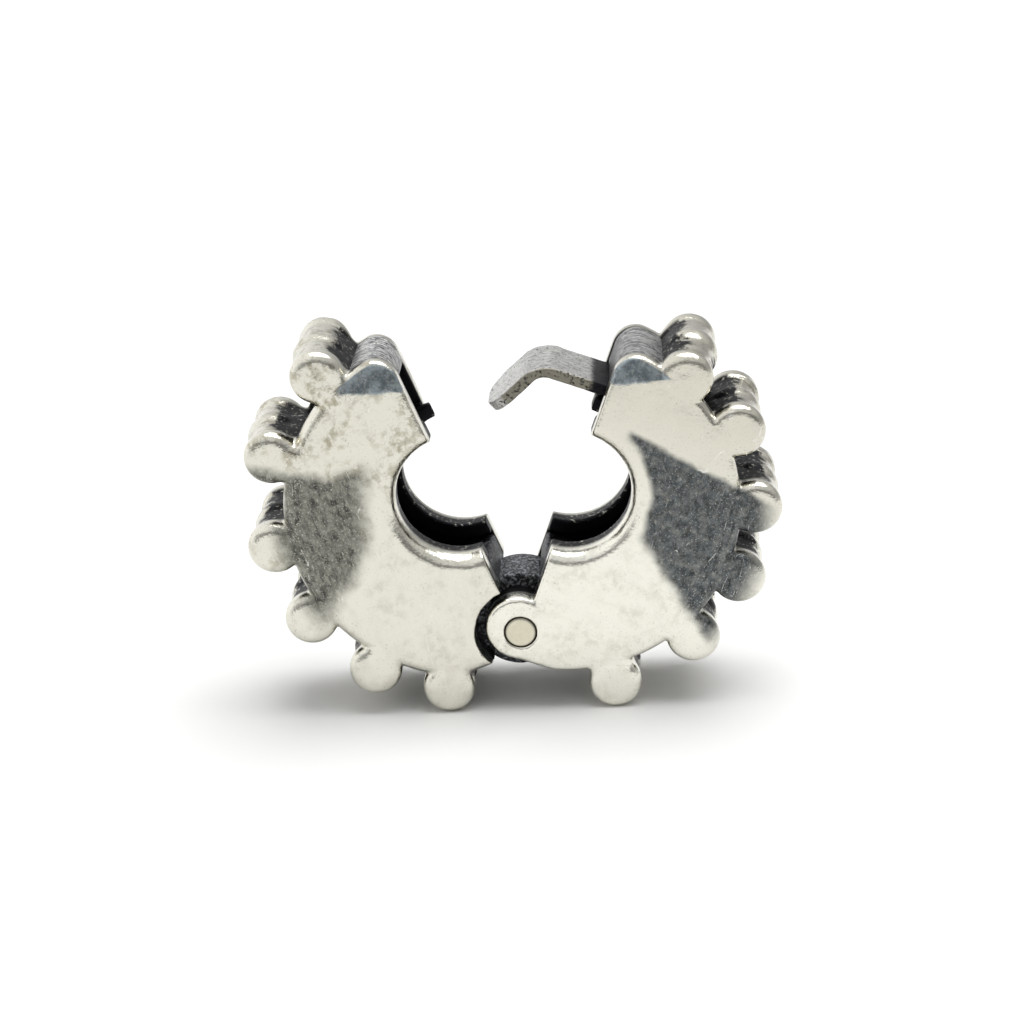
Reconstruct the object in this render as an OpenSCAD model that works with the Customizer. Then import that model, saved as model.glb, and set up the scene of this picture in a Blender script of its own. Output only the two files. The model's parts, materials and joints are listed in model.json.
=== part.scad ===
// Hinged locking bead for a charm bracelet, standing open on its two lowest knobs.
// Each half is drawn closed, with the hinge axis along Y at the origin and the mating
// plane at x = 0. The place() module then opens the half and stands it on the floor.

/* [Body] */
// Depth of the body along the hinge axis
body_depth = 4.6; // [3.8:0.1:6]
// Radius of the left half between its knobs
rim_radius = 6.45; // [5.6:0.05:8]
// How much smaller the right half's radius is
right_rim_step = 0.2; // [0:0.05:0.4]
// Thickness of the front and back faces
face_thickness = 0.75; // [0.6:0.05:0.9]
// Thickness of the wall between the faces
wall_thickness = 0.8; // [0.5:0.05:1]
// How far the wall lies below the edges of the faces
groove_depth = 0.4; // [0.2:0.05:0.6]
// Size of the rounding along the rim of each face
rim_round = 0.35; // [0.1:0.05:0.5]
// Gap between the mating faces when the body is closed
mating_gap = 0.1; // [0.06:0.02:0.3]
// Angle that each half leans outwards when open
open_angle = 21; // [15:1:24]

/* [Bore] */
// Diameter of the hole that the bracelet passes through
bore_diameter = 4.4; // [3.6:0.1:5.3]
// Height of the bore's centre above the rim's centre
bore_rise = 0.6; // [0.3:0.05:0.8]
// Length of each lip, from the face to its inner end
lip_length = 1.25; // [1:0.05:1.6]
// Wall of each lip around the bore
lip_wall = 0.55; // [0.4:0.05:0.7]
// Radius of the flare where the bore meets a face
flare_radius = 0.5; // [0.3:0.05:0.6]

/* [Knobs] */
// Diameter of a knob
knob_diameter = 1.9; // [1.5:0.05:2.2]
// Height of the knobs' centres above the rim
knob_rise = 0.5; // [0.3:0.05:0.7]
// Distance of the end knobs' centres behind the faces
knob_inset = 0.35; // [0.2:0.05:0.6]
// Number of knobs in a row
knobs_per_row = 3; // [2:1:4]
// Diameter of the rib that joins the knobs of a row
rib_diameter = 1.7; // [1:0.05:1.8]
// Place of each left row, as degrees round the rim's centre from straight below it
left_row_angles = [29, 52, 77, 102, 130, 158]; // steps of 20 or more
// Place of each right row, measured the same way
right_row_angles = [34, 62, 86, 109, 135, 157]; // steps of 20 or more
// How much deeper the left half's lowest row is seated than its other rows
foot_sink = 0.1; // [0:0.05:0.2]
// How much higher the left half's two top rows sit than its other rows
left_top_rise = 0.15; // [0:0.05:0.3]
// How much lower the right half's top row sits than its other rows
right_top_drop = 0.35; // [0:0.05:0.4]

/* [Hinge] */
// Distance of the hinge axis above the lowest point of the left rim
hinge_inset = 1.5; // [1.3:0.05:1.8]
// Diameter of the hinge pin
pin_diameter = 1.1; // [0.8:0.05:1.3]
// Radial running clearance of the pin in the ears
pin_clearance = 0.04; // [0.02:0.01:0.08]
// Radius of each ear
ear_radius = 1.2; // [1:0.05:1.3]
// How far the ear's centre lies outwards and above the pin
ear_offset = 0.1; // [0:0.05:0.15]
// Thickness of each ear
ear_thickness = 1.25; // [0.9:0.05:1.5]
// Radius of the knuckle between the ears
knuckle_radius = 1.8; // [1.5:0.05:2.2]
// Side clearance between the knuckle and each ear
side_clearance = 0.05; // [0.03:0.01:0.1]
// Radial clearance around the knuckle and the ears
swing_clearance = 0.1; // [0.06:0.02:0.2]
// Gap between the ears and the hollow in the left half that they turn in
relief_gap = 0.45; // [0.3:0.05:0.6]
// Reach of the hinge blocks from the mating plane
block_reach = 2.9; // [2.4:0.1:3.2]
// Gap between the hinge blocks and the bore's lips
block_gap = 0.2; // [0.1:0.05:0.5]
// Height of the flat cut under the left half, above its rim's lowest point
left_heel_cut = 0.65; // [0.3:0.05:0.8]
// Height of the flat cut under the right half, above its rim's lowest point
right_heel_cut = 0.2; // [0.1:0.05:0.4]

/* [Catch] */
// Thickness of the snap tongue
tongue_thickness = 0.4; // [0.25:0.05:0.5]
// Side clearance between the tongue and each face
tongue_side_clearance = 0.1; // [0.06:0.02:0.3]
// Gap between the bore's lips and the tongue above them
tongue_lift = 0.85; // [0.4:0.05:1]
// Reach of the tongue's flat part past the mating plane
tongue_reach = 2.2; // [1.8:0.1:2.7]
// Length of the tongue's bent tip
tip_length = 2.1; // [1.6:0.1:2.3]
// Angle that the tip is bent down
tip_angle = 50; // [40:1:60]
// Distance of the tongue's bending line from the mating plane
flex_place = 0.45; // [0.35:0.05:0.6]
// Length of the tongue's fixed root
root_length = 1.5; // [1:0.1:2]
// Gap between the tongue and what it passes
tongue_gap = 0.05; // [0.04:0.01:0.1]
// Gap between the tongue's crest and the catch lip as it passes
catch_gap = 0.15; // [0.1:0.01:0.3]
// Width of the hump at the top of each half
hump_width = 1.5; // [1.2:0.1:1.8]
// Radius of the hump's corner at the mating plane
hump_corner = 0.9; // [0.5:0.05:1.2]

/* [Hidden] */
$fn = 64;

left = -1;
right = 1;
silver = "silver";
oxidised = "dimgray";

bore_radius = bore_diameter / 2;
lip_radius = bore_radius + lip_wall;
knob_radius = knob_diameter / 2;
pin_radius = pin_diameter / 2;
half_gap = mating_gap / 2;
inner_front = face_thickness;
inner_back = body_depth - face_thickness;
knuckle_front = ear_thickness + side_clearance;
knuckle_back = body_depth - knuckle_front;
pocket_radius = knuckle_radius + swing_clearance;
beyond = 2 * rim_radius;
overshoot = 1;

// Heights above the hinge axis
rim_height = rim_radius - hinge_inset;
bore_height = rim_height + bore_rise;
block_top = bore_height - lip_radius - block_gap;
tongue_bottom = bore_height + lip_radius + tongue_lift;
tongue_height = tongue_bottom + tongue_thickness;
tongue_middle = tongue_bottom + tongue_thickness / 2;

// The tongue's crest passes under the catch lip at this distance from the hinge axis
crest_radius = norm([tongue_reach, tongue_height]);
root_start = flex_place + tongue_gap;
relief_radius = ear_radius + relief_gap;

function side_radius(side) = side == left ? rim_radius : rim_radius - right_rim_step;
function row_angles(side) = side == left ? left_row_angles : right_row_angles;
function heel_height(side) =
    rim_height - side_radius(side) + (side == left ? left_heel_cut : right_heel_cut);
// The hollow under each hump holds the tongue's crest on the left and its root on the right
function hump_bottom(side) = side == left ? crest_radius + catch_gap : tongue_height + tongue_gap;
function hollow_reach(side) = side == left ? tongue_reach : root_start + root_length;

// Both feet reach the same level: the right foot's radius follows from the left foot's
left_foot_radius = rim_radius + knob_rise - foot_sink;
foot_drop = left_foot_radius * cos(left_row_angles[0] - open_angle);
right_foot_radius = foot_drop / cos(right_row_angles[0] - open_angle);
last_row = len(right_row_angles) - 1;
function top_change(side, row) =
    side == left && row >= last_row - 1 ? left_top_rise
    : side == right && row == last_row ? -right_top_drop
    : 0;
function row_radius(side, row) =
    row == 0 ? (side == left ? left_foot_radius : right_foot_radius)
    : side_radius(side) + knob_rise + top_change(side, row);

// Height of the hinge axis when the feet stand on the floor
hinge_height = foot_drop + knob_radius - rim_height * cos(open_angle);

// Outermost reach of a half's knobs from the hinge axis, in the open position
function reach(side) = max([
    for (row = [0 : len(row_angles(side)) - 1])
        rim_height * sin(open_angle) + knob_radius
        + row_radius(side, row) * sin(row_angles(side)[row] - open_angle)
]);
hinge_offset = (reach(left) - reach(right)) / 2;

// Opens a half about the hinge axis and stands the body on the floor
module place(side) {
    translate([hinge_offset, -body_depth / 2, hinge_height])
        rotate([0, side * open_angle, 0])
            children();
}

// Extrudes a shape drawn in x and z from one depth to another
module slab(from, to) {
    translate([0, to, 0])
        rotate([90, 0, 0])
            linear_extrude(to - from)
                children();
}

// A round bar along the hinge direction
module bar(radius, from, to) {
    translate([0, from, 0])
        rotate([-90, 0, 0])
            cylinder(r = radius, h = to - from);
}

// The whole area on one side of the mating plane
module side_area(side) {
    width = beyond - half_gap;
    translate([side * (half_gap + width / 2), 0])
        square([width, 4 * beyond], center = true);
}

// What the rounded corner takes off the top of a half
module hump_corner_area(side) {
    corner_x = half_gap + hump_corner;
    inner = side_radius(side) - hump_corner;
    corner_z = sqrt(inner * inner - corner_x * corner_x);
    out = beyond / inner;
    difference() {
        polygon([
            [side * corner_x, rim_height + corner_z],
            [0, rim_height + corner_z],
            [0, rim_height + out * corner_z],
            [side * out * corner_x, rim_height + out * corner_z]
        ]);
        translate([side * corner_x, rim_height + corner_z])
            circle(r = hump_corner);
    }
}

// Outline of one half, before the bore and the hinge are cut
module outline(side) {
    difference() {
        intersection() {
            translate([0, rim_height])
                circle(r = side_radius(side), $fn = 128);
            side_area(side);
        }
        hump_corner_area(side);
        translate([-beyond, heel_height(side) - beyond])
            square([2 * beyond, beyond]);
    }
}

// A disc with rounded edges that fills the rim of one half
module rim_solid(side) {
    radius = side_radius(side);
    steps = 4;
    front = [for (i = [0 : steps])
        [radius - rim_round * (1 - sin(90 * i / steps)), rim_round * (1 - cos(90 * i / steps))]];
    back = [for (i = [steps : -1 : 0]) [front[i][0], body_depth - front[i][1]]];
    translate([0, 0, rim_height])
        rotate([-90, 0, 0])
            rotate_extrude($fn = 128)
                polygon(concat([[0, 0]], front, back, [[0, body_depth]]));
}

// The bore with its flared ends, as a solid to take away
module bore_cutter() {
    steps = 6;
    front = [for (i = [0 : steps])
        [bore_radius + flare_radius * (1 - sin(90 * i / steps)), flare_radius * (1 - cos(90 * i / steps))]];
    back = [for (i = [steps : -1 : 0]) [front[i][0], body_depth - front[i][1]]];
    wide = bore_radius + flare_radius;
    translate([0, 0, bore_height])
        rotate([-90, 0, 0])
            rotate_extrude($fn = 96)
                polygon(concat(
                    [[0, -overshoot], [wide, -overshoot]], front, back,
                    [[wide, body_depth + overshoot], [0, body_depth + overshoot]]
                ));
}

// One face with its lip around the bore; from and to give the face, lip_from and lip_to the lip
module face(side, from, to, lip_from, lip_to) {
    difference() {
        union() {
            intersection() {
                rim_solid(side);
                slab(from, to)
                    outline(side);
            }
            slab(lip_from, lip_to)
                intersection() {
                    translate([0, bore_height])
                        circle(r = lip_radius);
                    side_area(side);
                }
        }
        bore_cutter();
        if (side == left)
            bar(relief_radius, -overshoot, body_depth + overshoot);
    }
}

// An ear around the hinge pin, with the hole for the pin
module ear(from, to) {
    translate([-ear_offset, 0, ear_offset])
        bar(ear_radius, from, to);
}

module ear_hole() {
    bar(pin_radius + pin_clearance, -overshoot, body_depth + overshoot);
}

module front_face(side) {
    face(side, 0, inner_front, 0, lip_length);
}

module back_face(side) {
    face(side, inner_back, body_depth, body_depth - lip_length, body_depth);
}

// A rectangle beside the mating plane, out to a width and between two heights
module edge_area(side, width, bottom, top) {
    span = width - half_gap;
    translate([side * (half_gap + span / 2), (bottom + top) / 2])
        square([span, top - bottom], center = true);
}

// A disc out to the recessed wall's outer side
module wall_disc(side) {
    translate([0, rim_height])
        circle(r = side_radius(side) - groove_depth, $fn = 128);
}

// The recessed wall between the faces, from the hinge block to the hump
module wall(side) {
    slab(inner_front, inner_back)
        difference() {
            intersection() {
                wall_disc(side);
                outline(side);
            }
            translate([0, rim_height])
                circle(r = side_radius(side) - groove_depth - wall_thickness, $fn = 128);
            edge_area(side, hump_width, rim_height, beyond);
            edge_area(side, hollow_reach(side), rim_height, hump_bottom(side));
            tongue_area(catch_gap);
            edge_area(side, block_reach, -beyond, block_top);
        }
}

// The smooth rounded top of a half beside the mating plane
module hump(side) {
    slab(inner_front, inner_back)
        intersection() {
            outline(side);
            edge_area(side, hump_width, hump_bottom(side), beyond);
        }
}

// The block between the faces that carries the hinge
module hinge_block(side) {
    slab(inner_front, inner_back)
        intersection() {
            wall_disc(side);
            outline(side);
            edge_area(side, block_reach, -beyond, block_top);
        }
}

// A row of domed knobs on a rib, seated on the rim of one half
module knob_row(side, row) {
    angle = row_angles(side)[row];
    radius = side_radius(side);
    centre = row_radius(side, row);
    pitch = (body_depth - 2 * knob_inset) / (knobs_per_row - 1);
    foot = radius - groove_depth;
    difference() {
        intersection() {
            translate([0, 0, rim_height])
                rotate([0, 180 - side * angle, 0])
                    difference() {
                        union() {
                            for (i = [0 : knobs_per_row - 1])
                                translate([0, knob_inset + i * pitch, centre])
                                    sphere(d = knob_diameter);
                            translate([0, 0, centre])
                                bar(rib_diameter / 2, 0, body_depth);
                            translate([-rib_diameter / 2, 0, foot - overshoot])
                                cube([rib_diameter, body_depth, centre - foot + overshoot]);
                        }
                        bar(foot, -overshoot, body_depth + overshoot);
                    }
            slab(0, body_depth)
                translate([-2 * beyond, -2 * beyond])
                    square(4 * beyond);
        }
        translate([0, 0, rim_height]) {
            bar(radius, -overshoot, inner_front);
            bar(radius, inner_back, body_depth + overshoot);
        }
    }
}

module left_front_face() {
    color(silver) place(left)
        front_face(left);
}

module left_back_face() {
    color(silver) place(left)
        back_face(left);
}

module left_wall() {
    color(oxidised) place(left)
        wall(left);
}

module left_hump() {
    color("gray") place(left)
        hump(left);
}

// Barrel around the hinge pin and the block that joins it to the left half
module left_knuckle() {
    color(oxidised) place(left)
        difference() {
            union() {
                difference() {
                    hinge_block(left);
                    bar(relief_radius, -overshoot, knuckle_front);
                    bar(relief_radius, knuckle_back, body_depth + overshoot);
                }
                bar(knuckle_radius, knuckle_front, knuckle_back);
            }
            bar(pin_radius, -overshoot, body_depth + overshoot);
        }
}

module left_knob_row(row) {
    color(silver) place(left)
        knob_row(left, row);
}

module right_front_face() {
    color(silver) place(right)
        difference() {
            union() {
                front_face(right);
                ear(0, ear_thickness);
            }
            ear_hole();
        }
}

module right_back_face() {
    color(silver) place(right)
        difference() {
            union() {
                back_face(right);
                ear(body_depth - ear_thickness, body_depth);
            }
            ear_hole();
        }
}

module right_wall() {
    color(oxidised) place(right)
        wall(right);
}

module right_hump() {
    color("gray") place(right)
        hump(right);
}

// Block that closes the foot of the right half, hollowed for the knuckle to turn in
module right_hinge_block() {
    color(oxidised) place(right)
        difference() {
            hinge_block(right);
            bar(pocket_radius, -overshoot, body_depth + overshoot);
        }
}

module right_knob_row(row) {
    color(silver) place(right)
        knob_row(right, row);
}

module hinge_pin() {
    color("tan") place(left)
        bar(pin_radius, 0, body_depth);
}

// Fixed end of the tongue, seated under the right hump
module tongue_root() {
    color(oxidised) place(right)
        translate([root_start, inner_front, tongue_bottom])
            cube([root_length, inner_back - inner_front, tongue_thickness + tongue_gap]);
}

// The closed tongue's side view, or with a margin the space it needs in the left half
module tongue_area(margin) {
    thickness = tongue_thickness + 2 * margin;
    end = flex_place - tongue_gap;
    translate([-tongue_reach, tongue_middle - thickness / 2])
        square([tongue_reach + end, thickness]);
    translate([-tongue_reach, tongue_middle]) {
        circle(d = thickness);
        rotate(180 + tip_angle)
            translate([0, -thickness / 2])
                square([tip_length + margin, thickness]);
    }
}

// Flat strip that springs under the left hump, with its tip bent down
module snap_tongue() {
    color("gray") place(right)
        slab(inner_front + tongue_side_clearance, inner_back - tongue_side_clearance)
            tongue_area(0);
}

left_front_face();
left_back_face();
left_wall();
left_hump();
left_knuckle();
left_knob_row(0);  // left_knob_row_1
left_knob_row(1);  // left_knob_row_2
left_knob_row(2);  // left_knob_row_3
left_knob_row(3);  // left_knob_row_4
left_knob_row(4);  // left_knob_row_5
left_knob_row(5);  // left_knob_row_6
right_front_face();
right_back_face();
right_wall();
right_hump();
right_hinge_block();
right_knob_row(0);  // right_knob_row_1
right_knob_row(1);  // right_knob_row_2
right_knob_row(2);  // right_knob_row_3
right_knob_row(3);  // right_knob_row_4
right_knob_row(4);  // right_knob_row_5
right_knob_row(5);  // right_knob_row_6
hinge_pin();
tongue_root();
snap_tongue();
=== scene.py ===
import json
import math

import bpy
from mathutils import Matrix, Vector


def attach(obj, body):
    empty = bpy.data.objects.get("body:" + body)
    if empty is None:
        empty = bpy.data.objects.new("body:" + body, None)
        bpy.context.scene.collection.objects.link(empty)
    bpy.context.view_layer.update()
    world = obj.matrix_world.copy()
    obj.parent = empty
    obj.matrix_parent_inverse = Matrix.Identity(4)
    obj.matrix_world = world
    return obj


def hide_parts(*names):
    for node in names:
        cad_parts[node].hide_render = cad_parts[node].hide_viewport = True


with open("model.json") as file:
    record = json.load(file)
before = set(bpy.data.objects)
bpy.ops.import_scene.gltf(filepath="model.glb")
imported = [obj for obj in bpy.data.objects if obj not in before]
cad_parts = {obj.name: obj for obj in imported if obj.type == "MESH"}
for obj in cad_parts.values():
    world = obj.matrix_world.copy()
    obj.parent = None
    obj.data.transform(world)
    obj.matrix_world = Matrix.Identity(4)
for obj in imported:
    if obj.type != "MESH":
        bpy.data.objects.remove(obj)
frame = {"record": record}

scene = bpy.context.scene
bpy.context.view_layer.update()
mm = 0.001
left, right = -1, 1
words = {left: "left", right: "right"}

# sizes that several pieces share, in mm; x runs outwards from the mating plane of the closed bead
body = {
    "depth": 4.6, "rimHeight": 4.95, "rim": {left: 6.45, right: 6.25},
    "plate": 0.75, "groove": 0.4, "wall": 0.8, "gap": 0.05, "openAngle": 21,
    "bore": 2.2, "boreHeight": 5.55, "lipWall": 0.55, "lipLength": 1.25, "flare": 0.55,
    "heel": {left: -0.85, right: -1.1}, "pin": 0.55, "clearance": 0.04,
    "relief": 1.65, "ear": 1.2, "earOffset": 0.1, "knuckle": 1.8, "pocket": 1.9,
    "blockReach": 2.9, "blockTop": 2.6, "humpWidth": 1.5, "humpBottom": {left: 9.95, right: 9.6},
}
halfDepth = body["depth"] / 2
joints = {joint["name"]: joint for joint in frame["record"]["behaviour"]["joints"]}
hinge = Vector(joints["hinge"]["pos_m"]) / mm
print("frame loaded, hinge at", tuple(round(v, 3) for v in hinge))


class Wire:
    # one output of a node, so that shape and shader maths reads as sums
    def __init__(self, graph, node, output=0):
        self.graph = graph
        self.node = node
        self.socket = node.outputs[output]

    def maths(self, operation, *others):
        return self.graph.add("ShaderNodeMath", {"operation": operation}, dict(enumerate([self, *others])))

    def __add__(self, other):
        return self.maths("ADD", other)

    __radd__ = __add__

    def __mul__(self, other):
        return self.maths("MULTIPLY", other)

    __rmul__ = __mul__

    def __sub__(self, other):
        return self.maths("SUBTRACT", other)

    def __rsub__(self, other):
        return self.graph.add("ShaderNodeMath", {"operation": "SUBTRACT"}, {0: other, 1: self})

    def __truediv__(self, other):
        return self.maths("DIVIDE", other)

    def __neg__(self):
        return self * -1

    def __pow__(self, power):
        return self.maths("POWER", power)

    def __abs__(self):
        return self.maths("ABSOLUTE")

    def top(self, other):
        return self.maths("MAXIMUM", other)

    def low(self, other):
        return self.maths("MINIMUM", other)

    def melt(self, other, width):
        return self.maths("SMOOTH_MIN", other, width)

    def reach(self, other):
        return (self * self + other * other).maths("SQRT")

    def fade(self, start, end, first=0.0, last=1.0):
        return self.graph.add("ShaderNodeMapRange", {"interpolation_type": "SMOOTHSTEP"}, {
            "Value": self, "From Min": start, "From Max": end, "To Min": first, "To Max": last})

    def output(self, name):
        return Wire(self.graph, self.node, name)


class Graph:
    def __init__(self, tree):
        self.tree = tree
        self.values = {}

    # any node: its type, its settings, the values or wires of its sockets
    def add(self, kind, settings=None, sockets=None, output=0):
        node = self.tree.nodes.new(kind)
        for name, value in (settings or {}).items():
            setattr(node, name, value)
        for name, value in (sockets or {}).items():
            if isinstance(value, Wire):
                self.tree.links.new(value.socket, node.inputs[name])
            else:
                node.inputs[name].default_value = value
        return Wire(self, node, output) if node.outputs else node

    def split(self, vector):
        parts = self.add("ShaderNodeSeparateXYZ", None, {0: vector})
        return parts, parts.output("Y"), parts.output("Z")

    # a named input of the tree, and what the modifier sets it to
    def setting(self, name, kind, value=None):
        socket = self.tree.interface.new_socket(name, in_out="INPUT", socket_type=kind)
        if value is not None:
            self.values[socket.identifier] = value


# the larger of two distances, with the edge between them rounded
def rounded(a, b, radius):
    a, b = a + radius, b + radius
    return a.top(0).reach(b.top(0)) + a.top(b).low(0) - radius


def openMatrix(side):
    turn = Matrix.Rotation(math.radians(side * body["openAngle"]), 4, "Y")
    return Matrix.Translation(hinge + Vector((0, -halfDepth, 0))) @ turn


# height over the hinge that a place in the closed bead has when its half is open
def openHeight(x, z):
    turn = math.radians(body["openAngle"])
    return z * math.cos(turn) - x * math.sin(turn)


# how far a place is outside the circle of the rim
def pastRim(x, z, size):
    return x.reach(z - body["rimHeight"]) - size["Rim Radius"]


# A piece cast from a distance field: the tree samples the field, skins it, and pulls the skin onto it
def castPiece(name, side, box, voxel, sizes, distance, material, pattern=None):
    low, high = box
    tree = bpy.data.node_groups.new(name, "GeometryNodeTree")
    graph = Graph(tree)
    graph.setting("Pattern", "NodeSocketGeometry")
    for key, value in sizes.items():
        graph.setting(key, "NodeSocketFloat", float(value))
    for key, value in (("Low", low), ("High", high)):
        graph.setting(key, "NodeSocketVector", value)
    for axis in range(3):
        graph.setting("Steps " + "XYZ"[axis], "NodeSocketInt", round((high[axis] - low[axis]) / voxel) + 1)
    graph.setting("Material", "NodeSocketMaterial", material)
    tree.interface.new_socket("Casting", in_out="OUTPUT", socket_type="NodeSocketGeometry")
    given = graph.add("NodeGroupInput")
    wires = {key: given.output(key) for key in sizes}
    x, y, z = graph.split(graph.add("GeometryNodeInputPosition"))
    field = distance(graph, x * side, y, z, wires, given.output("Pattern"))
    cube = graph.add("GeometryNodeVolumeCube", None, {
        "Density": -field, "Background": -1.0, "Min": given.output("Low"), "Max": given.output("High"),
        "Resolution X": given.output("Steps X"), "Resolution Y": given.output("Steps Y"),
        "Resolution Z": given.output("Steps Z")})
    skin = graph.add("GeometryNodeVolumeToMesh", None, {"Volume": cube, "Threshold": 0.0})
    pull = graph.add("ShaderNodeVectorMath", {"operation": "SCALE"}, {
        0: graph.add("GeometryNodeInputNormal"), "Scale": -field})
    skin = graph.add("GeometryNodeSetPosition", None, {"Geometry": skin, "Offset": pull})
    skin = graph.add("GeometryNodeSetShadeSmooth", None, {"Geometry": skin})
    skin = graph.add("GeometryNodeRealizeInstances", None, {"Geometry": skin})
    skin = graph.add("GeometryNodeSetMaterial", None, {
        "Geometry": skin, "Material": given.output("Material")})
    graph.add("NodeGroupOutput", None, {0: skin})
    mesh = bpy.data.meshes.new(name + "Pattern")
    if pattern:
        mesh.from_pydata(*pattern)
    holder = bpy.data.objects.new(name + "Holder", mesh)
    scene.collection.objects.link(holder)
    modifier = holder.modifiers.new("cast", "NODES")
    modifier.node_group = tree
    for identifier, value in graph.values.items():
        modifier[identifier] = value
    shape = bpy.data.meshes.new_from_object(holder.evaluated_get(bpy.context.evaluated_depsgraph_get()))
    shape.transform(Matrix.Scale(mm, 4) @ openMatrix(side))
    shape.name = name
    piece = bpy.data.objects.new(name, shape)
    scene.collection.objects.link(piece)
    bpy.data.objects.remove(holder)
    print("cast", name, len(shape.polygons), "faces")
    return piece


# Where a point of the piece is in the closed bead, in mm: the place, then its x, depth and height
def closedPlace(graph, side):
    turn = openMatrix(side).inverted()
    where = graph.add("ShaderNodeMapping", None, {
        "Vector": graph.add("ShaderNodeTexCoord").output("Object"), "Location": turn.translation,
        "Rotation": turn.to_euler(), "Scale": (1 / mm,) * 3})
    return where, *graph.split(where)


def makeMaterial(name, build):
    material = bpy.data.materials.new(name)
    material.use_nodes = True
    material.node_tree.nodes.clear()
    graph = Graph(material.node_tree)
    graph.add("ShaderNodeOutputMaterial", None, {"Surface": build(graph)})
    return material


def metal(graph, colour, roughness, height, strength, relief, metallic=1.0):
    bump = graph.add("ShaderNodeBump", None, {"Strength": strength, "Distance": relief, "Height": height})
    return graph.add("ShaderNodeBsdfPrincipled", None, {
        "Base Color": colour, "Metallic": metallic, "Roughness": roughness, "Normal": bump})


def blendColour(graph, amount, first, second):
    colours = {6: (*first, 1) if isinstance(first, tuple) else first,
               7: (*second, 1) if isinstance(second, tuple) else second}
    return graph.add("ShaderNodeMix", {"data_type": "RGBA"}, {0: amount, **colours}, 2)


def grain(graph, where, scale, detail=3.0, roughness=0.5):
    return graph.add("ShaderNodeTexNoise", None, {
        "Vector": where, "Scale": scale, "Detail": detail, "Roughness": roughness})


def stretch(graph, where, scale, turn=(0, 0, 0)):
    return graph.add("ShaderNodeMapping", None, {"Vector": where, "Scale": scale, "Rotation": turn})


# The waves of a cast surface, about 0
def waves(graph, scale, detail=3.0, roughness=0.5):
    return grain(graph, graph.add("GeometryNodeInputPosition"), scale, detail, roughness) - 0.5


silver = {
    "colour": {left: (0.72, 0.705, 0.62), right: (0.82, 0.805, 0.72)},
    "smudge": (0.36, 0.33, 0.25), "smudged": {left: 0.95, right: 0.4}, "upwardDarkening": {left: 0.1, right: 0.42},
    # painted reflection: the dark patch on the faces, then its paler streaks
    "darkReflection": {left: (0.035, 0.037, 0.034), right: (0.018, 0.022, 0.025)},
    "wornAndSheen": {left: (0.20, 0.20, 0.17), right: (0.085, 0.097, 0.105)},
    # painted reflection: the colours of the band in front of the hump
    "band": (0.33, 0.39, 0.43), "bandDark": (0.13, 0.165, 0.19),
    "bandRise": (9.15, 9.28), "bandEnd": (2.3, 2.0),
    # pale specks, painted mostly into the reflections
    "speck": {left: (0.6, 0.59, 0.52), right: (0.42, 0.44, 0.44)},
    "scratch": (0.8, 0.79, 0.74), "pit": (0.12, 0.12, 0.12), "black": (0.014, 0.014, 0.016),
    "roughness": 0.16, "bump": 0.16, "relief": 0.00006,
}

# The painted reflection: a dark patch on each half's faces, in mm. An edge goes through a place (x, height),
# falls outwards by its slope, is shaken by the noise and fades over a range
darkReflections = {
    left: {
        "top": (2.4, 7.95), "topSlope": -0.115, "topShake": 1.0, "topFade": (-0.3, 0.3),
        "shoulder": 3.95, "shoulderSlope": 0.45,
        "inner": (2.4, 7.9), "innerSlope": 0.42, "innerShake": 0.8, "innerFade": (-0.45, 0.75),
        "low": (3.36, 5.1), "lowSlope": 0.67, "lowShake": 1.0, "lowFade": (-0.6, 0.7),
        "spread": 1.5, "spreadRise": (7.4, 8.3),
    },
    right: {
        "top": (1.1, 8.45), "topSlope": 0.17, "topShake": 0.5, "topFade": (-0.12, 0.16),
        "boreDistance": 2.86, "innerShake": 0.5, "innerFade": (-0.12, 0.2), "pointFade": (1.1, 1.5),
        "low": (2.9, 4.9), "lowSlope": 0.85, "lowShake": 0.8, "lowFade": (-0.35, 0.3),
        "spread": 0.1,
    },
}


# where the painted dark reflection lies on a half's faces
def darkReflectionMask(side, x, z, around, bore, wander):
    reflectionShape = darkReflections[side]

    def above(edge):
        startX, startZ = reflectionShape[edge]
        return z - startZ + (x - startX) * reflectionShape[edge + "Slope"] + wander * reflectionShape[edge + "Shake"]

    upper = above("top")
    lower = above("low").fade(*reflectionShape["lowFade"])
    if side == left:
        # it hangs from the outer edge and narrows towards the bore
        upper = upper - (x - reflectionShape["shoulder"]).top(0) * reflectionShape["shoulderSlope"]
        innerX, innerZ = reflectionShape["inner"]
        inner = x - innerX - (innerZ - z) * reflectionShape["innerSlope"] + wander * reflectionShape["innerShake"]
        inner = inner.fade(*reflectionShape["innerFade"])
        spread = z.fade(*reflectionShape["spreadRise"], 0, reflectionShape["spread"])
    else:
        # a wedge with its point above the bore
        inner = (bore - reflectionShape["boreDistance"] + wander * reflectionShape["innerShake"]).fade(*reflectionShape["innerFade"])
        inner = inner * x.fade(*reflectionShape["pointFade"])
        spread = x * reflectionShape["spread"]
    upper = upper.fade(*reflectionShape["topFade"], 1, 0)
    return upper * inner * lower * (around - (body["rim"][side] + spread)).fade(0.75, -0.2)


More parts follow.
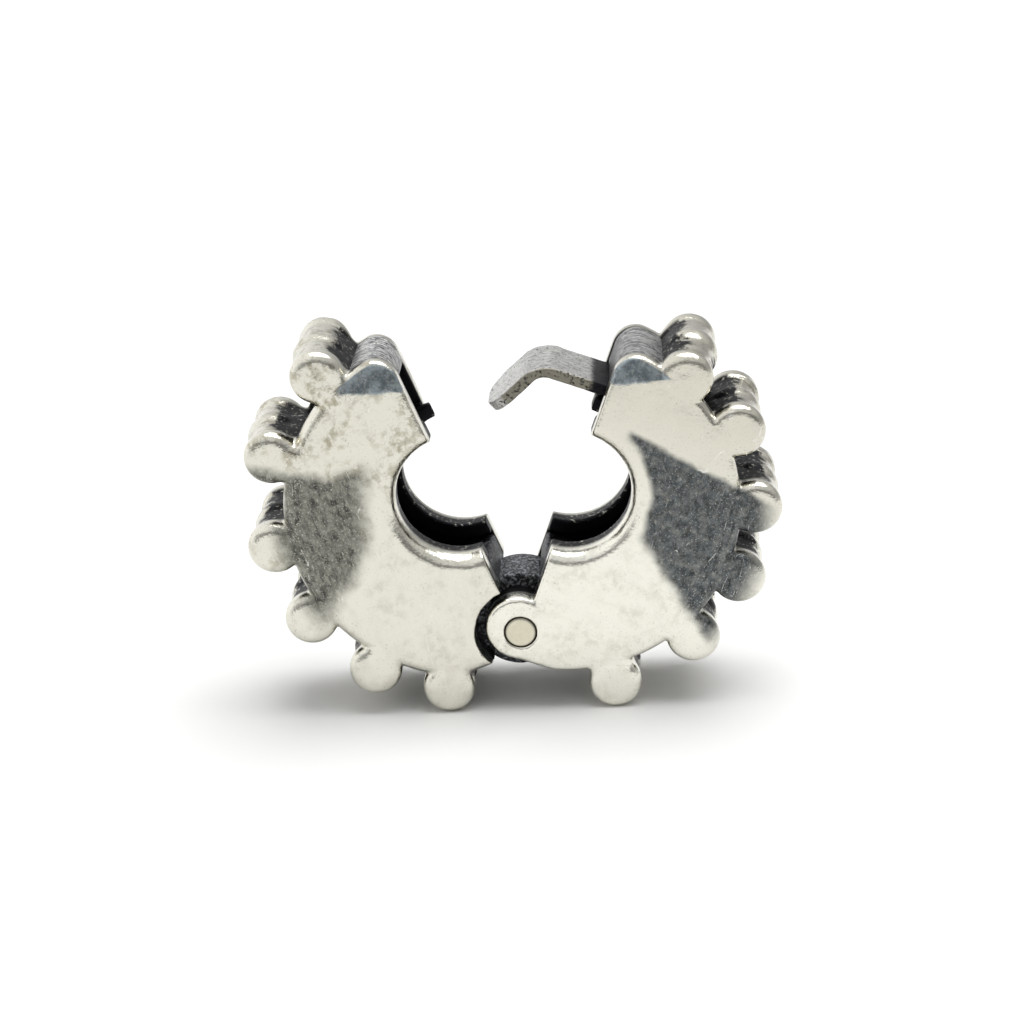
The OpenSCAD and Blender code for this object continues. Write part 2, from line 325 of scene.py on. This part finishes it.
# The blackened places: between the knobs, beside their rows, and behind the faces away from the bore
def sunkMask(side, y, around, bore, fine, mottle):
    rim = body["rim"][side]
    middle = abs(y - halfDepth)
    valley = abs(((y - knobs["inset"]) / knobPitch).maths("FRACT") - 0.5) * knobPitch
    valley = (valley + (fine - 0.5) * 0.3).fade(0.26, 0.08) * around.fade(rim + 1.2, rim + 0.95)
    sunk = (around + (mottle - 0.5) * 1.5).fade(rim + 1.08, rim + 0.82)
    sunk = sunk.top(valley) * middle.fade(halfDepth - 0.45, halfDepth - 0.8)
    sunk = sunk * (1 - fine.fade(0.56, 0.72) * 0.8)
    inside = (rim - 0.3 - around).fade(0, 0.2) * middle.fade(halfDepth - 0.62, halfDepth - 0.74)
    return sunk.top(inside * bore.fade(body["bore"] + 0.02, body["bore"] + 0.12))


# Polished silver with painted dark reflections on the faces and blackened grooves behind the knobs
def shellSilver(side):
    rim = body["rim"][side]

    def build(graph):
        where, x, y, z = closedPlace(graph, side)
        x = x * side
        around = x.reach(z - body["rimHeight"])
        bore = x.reach(z - body["boreHeight"])
        middle = abs(y - halfDepth)
        onFace = middle.fade(halfDepth - 0.45, halfDepth - 0.1)
        wander = grain(graph, where, 0.9, 5) - 0.5
        mottle = grain(graph, where, 2.6, 5, 0.65)
        fine = grain(graph, where, 7, 4, 0.6)
        specks = grain(graph, where, 16, 2, 0.7)
        # smudges, and a brownish darkening that grows upwards
        smudge = wander.fade(-0.12, 0.16) * mottle.fade(0.42, 0.60)
        smudge = smudge * z.fade(3.0, 8.0, 0.25, silver["smudged"][side])
        smudge = smudge.top(z.fade(3.5, 10.5, 0, silver["upwardDarkening"][side]))
        colour = blendColour(graph, smudge, silver["colour"][side], silver["smudge"])
        # the painted dark reflection on the faces, in slanting streaks
        patch = darkReflectionMask(side, x, z, around, bore, wander) * onFace
        patch = patch * (mottle.fade(0.25, 0.6, 0.82, 1.0) - fine.fade(0.55, 0.75) * 0.3)
        streak = grain(graph, stretch(graph, where, (4.5, 4.5, 2.4), (0, 0.75, 0)), 1.0, 6, 0.75)
        darkReflection = blendColour(graph, streak.fade(0.36, 0.62), silver["darkReflection"][side], silver["wornAndSheen"][side])
        colour = blendColour(graph, patch * 0.97, colour, darkReflection)
        # a painted reflection: a blue-grey band in front of the hump, level in the open bead
        band = (openHeight(x, z) + wander * 0.5).fade(*silver["bandRise"], 0, 1.05)
        band = band * (1 - fine.fade(0.5, 0.7) * 0.35) * x.fade(*silver["bandEnd"])
        band = band * middle.fade(halfDepth - 0.32, halfDepth - 0.2) * (rim - 0.1 - around).fade(0, 0.06)
        slateReflection = blendColour(graph, mottle.fade(0.38, 0.62), silver["bandDark"], silver["band"])
        colour = blendColour(graph, band * 0.9, colour, slateReflection)
        patch = patch.top(band)
        # bright specks, most of them inside the painted reflections, and scratches, dark pits
        dots = specks.fade(0.6, 0.67) * (0.1 + patch * 0.9)
        colour = blendColour(graph, dots * 0.85, colour, silver["speck"][side])
        line = grain(graph, stretch(graph, where, (1.5, 1.5, 0.22), (0, 0.95, 0)), 1.0, 1, 0.3)
        line = abs(line - 0.5).fade(0.006, 0.002) * mottle.fade(0.5, 0.6) * onFace
        colour = blendColour(graph, line * 0.7, colour, silver["scratch"])
        colour = blendColour(graph, specks.fade(0.37, 0.31) * 0.55, colour, silver["pit"])
        dark = sunkMask(side, y, around, bore, fine, mottle)
        colour = blendColour(graph, dark, colour, silver["black"])
        roughness = silver["roughness"] + wander.fade(-0.2, 0.4) * 0.12 + patch * 0.16 + dark * 0.3
        steep = grain(graph, stretch(graph, where, (14, 14, 0.7), (0, 0.7, 0)), 1.0, 2)
        shallow = grain(graph, stretch(graph, where, (0.5, 12, 12), (0, 0.25, 0)), 1.0, 2)
        height = fine * 0.8 + specks * (0.4 + patch * 0.9) + steep * 0.8 + shallow * 0.5
        height = height + wander * 6 + mottle * 2
        return metal(graph, colour, roughness, height, silver["bump"], silver["relief"])

    return makeMaterial("polishedSilver" + words[side].capitalize(), build)


oxide = {
    "colour": (0.020, 0.020, 0.022), "wornAndSheen": (0.42, 0.44, 0.47), "metallic": 0.85, "roughness": 0.34,
    "bump": 0.7, "relief": 0.00008,
}


# Blackened silver, rubbed bright in grains that also serve as painted glints, most of all on the barrel
# round the pin
def blackSilver(side):
    def build(graph):
        where, x, y, z = closedPlace(graph, side)
        coarse = grain(graph, where, 2.2, 5, 0.6)
        fine = grain(graph, where, 9, 4, 0.65)
        wornAndSheen = 0.5
        if side == left:
            wornAndSheen = wornAndSheen + x.reach(z).fade(body["knuckle"] + 0.3, body["knuckle"]) * 0.5 * z.fade(0.4, 1.2)
        # the pale grains are partly wear, partly painted glints
        colour = blendColour(graph, fine.fade(0.42, 0.7) * wornAndSheen, oxide["colour"], oxide["wornAndSheen"])
        return metal(graph, colour, oxide["roughness"] + fine * 0.3, coarse * 2 + fine,
                     oxide["bump"], oxide["relief"], oxide["metallic"])

    return makeMaterial("oxidisedSilver" + words[side].capitalize(), build)


brushed = {
    "colour": {left: (0.76, 0.76, 0.75), right: (0.52, 0.52, 0.51)}, "line": (0.06, 0.06, 0.065),
    "pit": (0.02, 0.02, 0.024), "shadow": (0.03, 0.03, 0.035), "roughness": 0.36,
    "bump": 0.5, "relief": 0.00005,
}


# Brushed silver with lines across the depth, dark at the mating plane
def brushedSilver(side):
    def build(graph):
        where, x, y, z = closedPlace(graph, side)
        lines = grain(graph, stretch(graph, where, (2.2, 9, 2.2)), 1.0, 6, 0.75)
        pits = grain(graph, where, 8, 3, 0.7)
        shade = grain(graph, where, 1.0, 3)
        colour = blendColour(graph, lines.fade(0.38, 0.6), brushed["line"], brushed["colour"][side])
        colour = blendColour(graph, pits.fade(0.45, 0.38) * 0.9, colour, brushed["pit"])
        inwards = (x * side).fade(0.5, 0.1) * z.fade(11.0, 10.0)
        colour = blendColour(graph, inwards * 0.85, colour, brushed["shadow"])
        height = lines * 1.4 + pits.fade(0.3, 0.42) * 1.2 + shade
        return metal(graph, colour, brushed["roughness"] + shade * 0.16, height,
                     brushed["bump"], brushed["relief"])

    return makeMaterial("brushedSilver" + words[side].capitalize(), build)


knobs = {
    "radius": 0.95, "rib": 0.85, "rise": 0.5, "inset": 0.35, "perRow": 3, "frontRound": 0.3, "melt": 0.12,
    "tooth": 0.93, "neck": 0.8, "toothMelt": 0.1, "toothRound": 0.26, "root": 1.7,
    "angles": {left: (29, 52, 77, 102, 130, 158), right: (34, 62, 86, 109, 134, 157)},
    "footSink": 0.1, "topRise": {left: (0, 0, 0, 0, 0.15, 0.15), right: (0, 0, 0, 0, 0, -0.35)},
    "rearRise": {left: (0, 0, 0, 0, 0.12, 0.16), right: (0, 0, 0, 0, -0.05, 0.34)},
}
knobPitch = (body["depth"] - 2 * knobs["inset"]) / (knobs["perRow"] - 1)


# One strip of faces for each row, from the knobs' centres down to their roots inside the rim
def knobPattern(side):
    def upright(angle):
        return math.cos(math.radians(angle - body["openAngle"]))

    vertices, faces = [], []
    rim = body["rim"][side]
    # both lowest rows stand on the floor when the bead is open
    footDrop = (body["rim"][left] + knobs["rise"] - knobs["footSink"]) * upright(knobs["angles"][left][0])
    for row, angle in enumerate(knobs["angles"][side]):
        centre = rim + knobs["rise"] + knobs["topRise"][side][row]
        if row == 0:
            centre = footDrop / upright(angle)
        ray = Vector((side * math.sin(math.radians(angle)), 0, -math.cos(math.radians(angle))))
        first = len(vertices)
        for i in range(knobs["perRow"]):
            depth = knobs["inset"] + i * knobPitch
            top = centre + (knobs["rearRise"][side][row] if i else 0)
            for radius in (top, rim - knobs["root"]):
                vertices.append(tuple(ray * radius + Vector((0, depth, body["rimHeight"]))))
        for i in range(knobs["perRow"] - 1):
            a = first + 2 * i
            faces.append((a, a + 2, a + 3, a + 1))
    return vertices, [], faces


shell = {
    "voxel": 0.078,
    "box": {left: ((-7.9, -0.2, -2.8), (0.2, 4.8, 12.3)), right: ((-1.6, -0.2, -2.8), (7.7, 4.8, 12.3))},
    "edge": {left: 0.42, right: 0.24}, "humpEdge": 0.16, "mateEdge": 0.13, "boreEdge": 0.05,
    "corner": 0.95, "cornerRise": (7.5, 9.5), "heelCorner": 0.12, "lipMelt": 0.12,
    "roll": 0.05, "rollWidth": 1.1, "bevelStart": 9.24, "bevelSlope": 0.2, "bevelEnd": (2.7, 2.2),
    "setBack": 0.33, "setBackDepth": (3.5, 3.75), "setBackRise": (6.6, 7.2),
    "jag": 0.105, "earRound": 0.2, "behindFace": 0.02, "ribBehindFace": 0.3,
}


# distance to the faces or points of a geometry, from a place or from where the field is sampled
def nearest(graph, geometry, element, place=None):
    sockets = {0: geometry}
    if place:
        sockets["Sample Position"] = place
    return graph.add("GeometryNodeProximity", {"target_element": element}, sockets).output("Distance")


# Faces, lips, ears and knobs of one half, which are a single casting
def shellField(side):
    def distance(graph, x, y, z, size, pattern):
        middle = abs(y - halfDepth)
        rimDistance = pastRim(x, z, size)
        # every second vertex of the pattern is the centre of a knob
        odd = graph.add("FunctionNodeIntegerMath", {"operation": "MODULO"}, {
            0: graph.add("GeometryNodeInputIndex"), 1: 2})
        centre = graph.add("FunctionNodeCompare", {"data_type": "INT", "operation": "EQUAL"}, {2: odd, 3: 0})
        points = graph.add("GeometryNodeMeshToPoints", None, {"Mesh": pattern, "Selection": centre})
        # the outline of the faces has a tooth at each front knob
        flat = graph.add("ShaderNodeCombineXYZ", None, {0: x * side, 1: knobs["inset"], 2: z})
        neck = nearest(graph, pattern, "FACES", flat) - knobs["neck"]
        tooth = (nearest(graph, points, "POINTS", flat) - knobs["tooth"]).melt(neck, knobs["toothMelt"])
        mate = body["gap"] - x
        if side == left:
            # the back face stops short of the mating plane above the bore
            mate = mate + y.fade(*shell["setBackDepth"]) * z.fade(*shell["setBackRise"]) * shell["setBack"]
        outline = rounded(rimDistance, mate, z.fade(*shell["cornerRise"], 0.06, shell["corner"]))
        outline = rounded(outline, body["heel"][side] - z, shell["heelCorner"])
        outline = outline.melt(tooth, knobs["melt"])
        # the faces fall away a little towards the outline and in front of the hump
        roll = (outline + shell["rollWidth"]).top(0)
        bevel = (openHeight(x, z) - shell["bevelStart"]).top(0) * shell["bevelSlope"]
        bevel = bevel * x.fade(*shell["bevelEnd"])
        face = middle - halfDepth + roll * roll * (shell["roll"] / shell["rollWidth"] ** 2) + bevel
        nearHump = x.fade(1.6, 2.4).top(z.fade(9.0, 7.5))
        edge = nearHump * (shell["edge"][side] - shell["humpEdge"]) + shell["humpEdge"]
        toothEdge = tooth.fade(0.15, -0.3, 0.1, knobs["toothRound"]) * rimDistance.fade(-0.1, 0.4)
        edge = edge.top(toothEdge).low(x.fade(0.1, 0.8, shell["mateEdge"], 1.0))
        plate = rounded(outline, face, edge)
        bore = x.reach(z - body["boreHeight"])
        flare = rounded(face, size["Bore Radius"] - bore, size["Flare"])
        lipEnd = halfDepth - size["Lip Length"] - middle
        lip = (bore - size["Bore Radius"] - body["lipWall"]).top(lipEnd)
        inner = (halfDepth - size["Plate"] - middle).melt(lip, shell["lipMelt"])
        half = rounded(plate.top(flare), inner, shell["boreEdge"])
        pinDistance = x.reach(z)
        if side == left:
            half = rounded(half, size["Relief"] - pinDistance + waves(graph, 1.6) * shell["jag"], 0.06)
        else:
            ear = (x + body["earOffset"]).reach(z - body["earOffset"]) - body["ear"]
            ear = rounded(ear, middle - halfDepth + shell["behindFace"], shell["earRound"]).top(lipEnd)
            half = half.melt(ear, 0.06)
            half = rounded(half, body["pin"] + body["clearance"] - pinDistance, shell["boreEdge"])
        dome = nearest(graph, points, "POINTS") - size["Knob Radius"]
        dome = rounded(dome, middle - halfDepth + shell["behindFace"], knobs["frontRound"])
        rib = nearest(graph, pattern, "FACES") - size["Rib Radius"]
        rib = rounded(rib, middle - halfDepth + shell["ribBehindFace"], 0.3)
        groove = size["Rim Radius"] - size["Groove"] - x.reach(z - body["rimHeight"])
        return half.melt(dome.melt(rib, 0.06).top(groove), knobs["melt"])

    return distance


def makeShell(side):
    word = words[side]
    sizes = {"Rim Radius": body["rim"][side], "Bore Radius": body["bore"], "Flare": body["flare"],
             "Lip Length": body["lipLength"], "Plate": body["plate"], "Relief": body["relief"],
             "Knob Radius": knobs["radius"], "Rib Radius": knobs["rib"], "Groove": body["groove"]}
    piece = castPiece(word + "Shell", side, shell["box"][side], shell["voxel"], sizes,
                      shellField(side), shellSilver(side), knobPattern(side))
    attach(piece, word + "_half")
    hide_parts(word + "_front_face", word + "_back_face",
                *[f"{word}_knob_row_{i}" for i in range(1, 7)])


core = {
    "voxel": 0.08, "rough": 0.05, "embed": 0.08,
    "box": {left: ((-7.2, 0.5, -1.6), (2.1, 4.1, 12.0)), right: ((-0.2, 0.5, -1.6), (7.0, 4.1, 12.0))},
    "wallTop": 8.5, "blockVoxel": 0.06, "blockBoxTop": 3.0, "blockEdge": 0.08, "blockTopEdge": 0.12,
    "barrelGap": 0.05, "barrelEdge": 0.1, "pinGrip": 0.02,
}


# past the space between the faces, into which the cores reach a little
def pastCore(y, size):
    return abs(y - halfDepth) - halfDepth + size["Plate"] - core["embed"]


# The blackened wall between the faces, with room for the hump and for the block
def wallField(side):
    def distance(graph, x, y, z, size, pattern):
        around = pastRim(x, z, size) + body["groove"]
        uneven = waves(graph, 1.1, 4, 0.6) * size["Rough"]
        ring = (around + uneven).top(-around - body["wall"]).top(pastCore(y, size))
        ring = ring.top(body["gap"] - x).top(body["heel"][side] + 0.05 - z)
        beside = (body["humpWidth"] - x).low(z - body["rimHeight"])
        ring = ring.top(beside.low(z - core["wallTop"]))
        return ring.top((body["blockReach"] - x).low(body["blockTop"] - z))

    return distance


# The block beside the hinge; on the left half it carries the barrel round the pin
def blockField(side):
    def distance(graph, x, y, z, size, pattern):
        middle = abs(y - halfDepth)
        uneven = waves(graph, 1.3, 4, 0.6) * size["Rough"]
        block = (pastRim(x, z, size) + body["groove"] + uneven).top(pastCore(y, size))
        block = rounded(block, body["gap"] + 0.02 - x, core["blockEdge"]).top(x - body["blockReach"])
        block = rounded(block, z - body["blockTop"], core["blockTopEdge"])
        block = block.top(body["heel"][side] + 0.02 - z)
        pinDistance = x.reach(z)
        if side == right:
            return block.top(body["pocket"] - pinDistance)
        barrelEnd = middle - (halfDepth - size["Lip Length"] - core["barrelGap"])
        block = block.top((body["relief"] - pinDistance).low(barrelEnd))
        barrel = rounded(pinDistance - body["knuckle"] + uneven.top(0), barrelEnd, core["barrelEdge"])
        return block.low(barrel).top(body["pin"] - core["pinGrip"] - pinDistance)

    return distance


hump = {
    "voxel": 0.06, "back": {left: 0.32, right: 0.05}, "round": 0.9, "underRim": 0.012, "underWall": 0.5,
    "box": {left: ((-2.2, 0.5, 9.4), (0.1, 4.1, 11.7)), right: ((-0.1, 0.5, 9.4), (2.2, 4.1, 11.7))},
}


# The smooth brushed top beside the mating plane
def humpField(side):
    def distance(graph, x, y, z, size, pattern):
        top = rounded(pastRim(x, z, size) + hump["underRim"], size["Set Back"] - x, size["Corner"])
        top = top.top(x - body["humpWidth"] - hump["underWall"]).top(size["Bottom"] - z)
        return top.top(pastCore(y, size))

    return distance


def makeCore(side):
    word = words[side]
    black = blackSilver(side)
    shared = {"Rim Radius": body["rim"][side], "Plate": body["plate"]}
    sizes = {**shared, "Rough": core["rough"], "Lip Length": body["lipLength"]}
    low, high = core["box"][side]
    wall = castPiece(word + "Wall", side, (low, high), core["voxel"], sizes, wallField(side), black)
    high = (high[0], high[1], core["blockBoxTop"])
    block = castPiece(word + "Block", side, (low, high), core["blockVoxel"], sizes, blockField(side), black)
    sizes = {**shared, "Set Back": hump["back"][side] + body["gap"], "Corner": hump["round"],
             "Bottom": body["humpBottom"][side]}
    top = castPiece(word + "Hump", side, hump["box"][side], hump["voxel"], sizes,
                    humpField(side), brushedSilver(side))
    made = [
        (wall, "oxidised_silver", "wall"),
        (block, "oxidised_silver", "knuckle" if side == left else "hinge_block"),
        (top, "brushed_silver", "hump"),
    ]
    for piece, slot, node in made:
        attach(piece, word + "_half")
        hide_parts(word + "_" + node)


pin = {
    "voxel": 0.035, "box": ((-0.7, -0.1, -0.7), (0.7, 4.7, 0.7)), "radius": 0.55, "chamfer": 0.05,
    # painted shade: the edge colour darkens the pin towards its rim
    "dome": 0.05, "colour": (0.76, 0.72, 0.575), "dull": (0.68, 0.64, 0.52), "edge": (0.08, 0.075, 0.07),
    "roughness": 0.38, "bump": 0.3, "relief": 0.00004,
}


def makePin():
    def distance(graph, x, y, z, size, pattern):
        end = abs(y - halfDepth) - halfDepth + x.reach(z) ** 2 * pin["dome"]
        return rounded(x.reach(z) - size["Radius"], end, pin["chamfer"])

    def build(graph):
        where, x, y, z = closedPlace(graph, left)
        filed = grain(graph, stretch(graph, where, (2, 2, 20), (0, 0.6, 0)), 1.0, 3)
        pits = grain(graph, where, 7, 3, 0.7)
        colour = blendColour(graph, pits.fade(0.35, 0.7) * 0.5, pin["colour"], pin["dull"])
        # painted shade: darker towards the rim of the pin
        edge = x.reach(z).fade(pin["radius"] - 0.09, pin["radius"])
        colour = blendColour(graph, edge * 0.7, colour, pin["edge"])
        return metal(graph, colour, pin["roughness"] + pits * 0.15, filed + pits, pin["bump"], pin["relief"])

    piece = castPiece("hingePin", left, pin["box"], pin["voxel"], {"Radius": pin["radius"]}, distance,
                      makeMaterial("pinMetal", build))
    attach(piece, "left_half")
    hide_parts("hinge_pin")


tongue = {
    "voxel": 0.05, "box": ((-4.1, 0.6, 6.95), (0.6, 4.0, 9.8)), "thickness": 0.4, "width": 2.9,
    "height": 9.35, "bend": 2.4, "bendRound": 0.45, "tip": 2.35, "tipAngle": 62, "tipRound": 1.0,
    "edge": 0.06, "root": 0.41, "rough": 0.04,
    "colour": (0.31, 0.307, 0.30), "drawn": (0.58, 0.575, 0.56), "tipColour": (0.7, 0.69, 0.675),
    "sideColour": (0.19, 0.175, 0.13), "pit": (0.03, 0.03, 0.03), "shadow": (0.015, 0.015, 0.018),
    "roughness": 0.38, "bump": 0.55, "relief": 0.00005,
}
seat = {
    "voxel": 0.06, "box": ((0.3, 0.6, 8.9), (2.2, 4.0, 9.8)), "x": 1.25, "z": 9.37, "halfLength": 0.74,
    "height": 0.45, "halfWidth": 1.6, "edge": 0.08, "rough": 0.1,
}


# The bent strip: along the seat, then down from the bend to a round tip
def tongueField(graph, x, y, z, size, pattern):
    lean = math.radians(tongue["tipAngle"])
    fall = Vector((-math.cos(lean), -math.sin(lean)))
    bend = Vector((-tongue["bend"], tongue["height"]))
    tip = bend + fall * tongue["tip"]
    slope = (x - bend.x) * fall.y - (z - bend.y) * fall.x
    strip = abs(rounded(z - bend.y, slope, size["Bend Round"])) - size["Thickness"] / 2
    along = (x - tip.x) * fall.x + (z - tip.y) * fall.y
    plan = rounded(along, abs(y - halfDepth) - size["Width"] / 2, size["Tip Round"])
    uneven = waves(graph, 1.5) * tongue["rough"]
    return rounded(strip + uneven, plan.top(x - tongue["root"]) + uneven, size["Edge"])


# Drawn metal, paler at the tip, dark along its sides and where it enters the right half
def tongueMetal(graph):
    where, x, y, z = closedPlace(graph, right)
    drawn = grain(graph, stretch(graph, where, (2.5, 7, 4)), 1.0, 6, 0.75)
    pits = grain(graph, where, 9, 3, 0.6)
    shade = grain(graph, where, 0.8, 3)
    side = abs(y - halfDepth).fade(tongue["width"] / 2 - 0.1, tongue["width"] / 2 - 0.02)
    colour = blendColour(graph, drawn.fade(0.35, 0.65), tongue["colour"], tongue["drawn"])
    colour = blendColour(graph, x.fade(-2.6, -3.2) * 0.5, colour, tongue["tipColour"])
    colour = blendColour(graph, side * 0.85, colour, tongue["sideColour"])
    colour = blendColour(graph, pits.fade(0.44, 0.36) * 0.85, colour, tongue["pit"])
    root = (x + (drawn - 0.5) * 0.7).fade(-0.62, -0.38)
    colour = blendColour(graph, root, colour, tongue["shadow"])
    height = pits.fade(0.3, 0.45) * 1.5 + drawn + shade
    return metal(graph, colour, tongue["roughness"] + shade * 0.2, height, tongue["bump"], tongue["relief"])


def seatField(graph, x, y, z, size, pattern):
    uneven = waves(graph, 1.4, 4) * seat["rough"]
    length = abs(x - seat["x"]) - seat["halfLength"]
    block = rounded(length, abs(z - seat["z"]) - size["Height"] / 2, seat["edge"])
    return block.top(abs(y - halfDepth) - seat["halfWidth"]) + uneven.top(0)


def makeTongue():
    sizes = {"Thickness": tongue["thickness"], "Width": tongue["width"], "Tip Round": tongue["tipRound"],
             "Bend Round": tongue["bendRound"], "Edge": tongue["edge"]}
    piece = castPiece("springTongue", right, tongue["box"], tongue["voxel"], sizes, tongueField,
                      makeMaterial("tongueMetal", tongueMetal))
    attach(piece, "tongue")
    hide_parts("snap_tongue")

    piece = castPiece("tongueSeat", right, seat["box"], seat["voxel"], {"Height": seat["height"]}, seatField,
                      bpy.data.materials["brushedSilverRight"])
    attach(piece, "right_half")
    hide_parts("tongue_root")


makeShell(left)
makeShell(right)
makeCore(left)
makeCore(right)
makePin()
makeTongue()

cameraSetup = {
    "elevation": 20.4, "azimuth": 3.15, "roll": -3.3,
    "distance": 86.4, "lens": 84.4, "aim": (-0.08, -0.79, 7.20),
}


def makeCamera(setup):
    elevation, azimuth, roll = (math.radians(setup[key]) for key in ("elevation", "azimuth", "roll"))
    forward = Vector((-math.sin(azimuth) * math.cos(elevation), math.cos(azimuth) * math.cos(elevation),
                      -math.sin(elevation)))
    level = Vector((math.cos(azimuth), math.sin(azimuth), 0))
    across = math.cos(roll) * level + math.sin(roll) * level.cross(forward)
    up = across.cross(forward)
    place = (Vector(setup["aim"]) - forward * setup["distance"]) * mm
    data = bpy.data.cameras.new("camera")
    data.lens = setup["lens"]
    data.clip_start = 0.005
    camera = bpy.data.objects.new("camera", data)
    scene.collection.objects.link(camera)
    camera.matrix_world = Matrix((
        (across.x, up.x, -forward.x, place.x), (across.y, up.y, -forward.y, place.y),
        (across.z, up.z, -forward.z, place.z), (0, 0, 0, 1)))
    scene.camera = camera
    print("camera placed")


makeCamera(cameraSetup)

studio = {
    "floorSize": 900, "floorColour": (0.95, 0.95, 0.945), "floorShade": (0.9, 0.9, 0.9),
    "lamp": 2.35, "lampAngle": 50, "lampFrom": (0.18, 0.10, 1),
    "sky": 0.5, "leftSide": 0.55, "rightSide": 0.34, "front": 0.16, "mirrored": {left: 1.3, right: 0.35},
}


def makeFloor():
    half = studio["floorSize"] / 2 * mm
    corners = [(-half, -half, 0), (half, -half, 0), (half, half, 0), (-half, half, 0)]
    mesh = bpy.data.meshes.new("floor")
    mesh.from_pydata(corners, [], [(0, 1, 2, 3)])
    floor = bpy.data.objects.new("floor", mesh)
    scene.collection.objects.link(floor)

    def build(graph):
        shade = grain(graph, graph.add("ShaderNodeTexCoord").output("Object"), 30, 3)
        colour = blendColour(graph, shade * 0.2, studio["floorColour"], studio["floorShade"])
        return graph.add("ShaderNodeBsdfPrincipled", None, {"Base Color": colour, "Roughness": 0.7})

    mesh.materials.append(makeMaterial("paleFloor", build))


def makeLamp():
    light = bpy.data.lights.new("softLamp", "SUN")
    light.energy = studio["lamp"]
    light.angle = math.radians(studio["lampAngle"])
    lamp = bpy.data.objects.new("softLamp", light)
    scene.collection.objects.link(lamp)
    lamp.rotation_euler = Vector(studio["lampFrom"]).to_track_quat("Z", "Y").to_euler()


# The surroundings: a dim front, sides of two strengths and a sky, stronger where the metal mirrors them
def makeWorld():
    world = bpy.data.worlds.new("studio")
    world.use_nodes = True
    world.node_tree.nodes.clear()
    graph = Graph(world.node_tree)
    x, y, z = graph.split(graph.add("ShaderNodeTexCoord").output("Generated"))
    sides = x.fade(-0.8, 0.6, studio["leftSide"], studio["rightSide"])
    low = sides + (-y).fade(0.25, 0.8) * (studio["front"] - sides)
    tone = low + z.fade(0.34, 0.5) * (studio["sky"] - low)
    rays = graph.add("ShaderNodeLightPath")
    mirrored = x.fade(-0.7, 0.5, studio["mirrored"][left], studio["mirrored"][right])
    tone = tone * (1 + rays.output("Is Glossy Ray") * mirrored)
    # the camera itself sees plain white
    tone = tone + rays.output("Is Camera Ray") * (1 - tone)
    sky = graph.add("ShaderNodeBackground", None, {"Color": (1, 1, 1, 1), "Strength": tone})
    graph.add("ShaderNodeOutputWorld", None, {"Surface": sky})
    scene.world = world
    print("studio built")


makeFloor()
makeLamp()
makeWorld()
scene.view_settings.view_transform = "Standard"
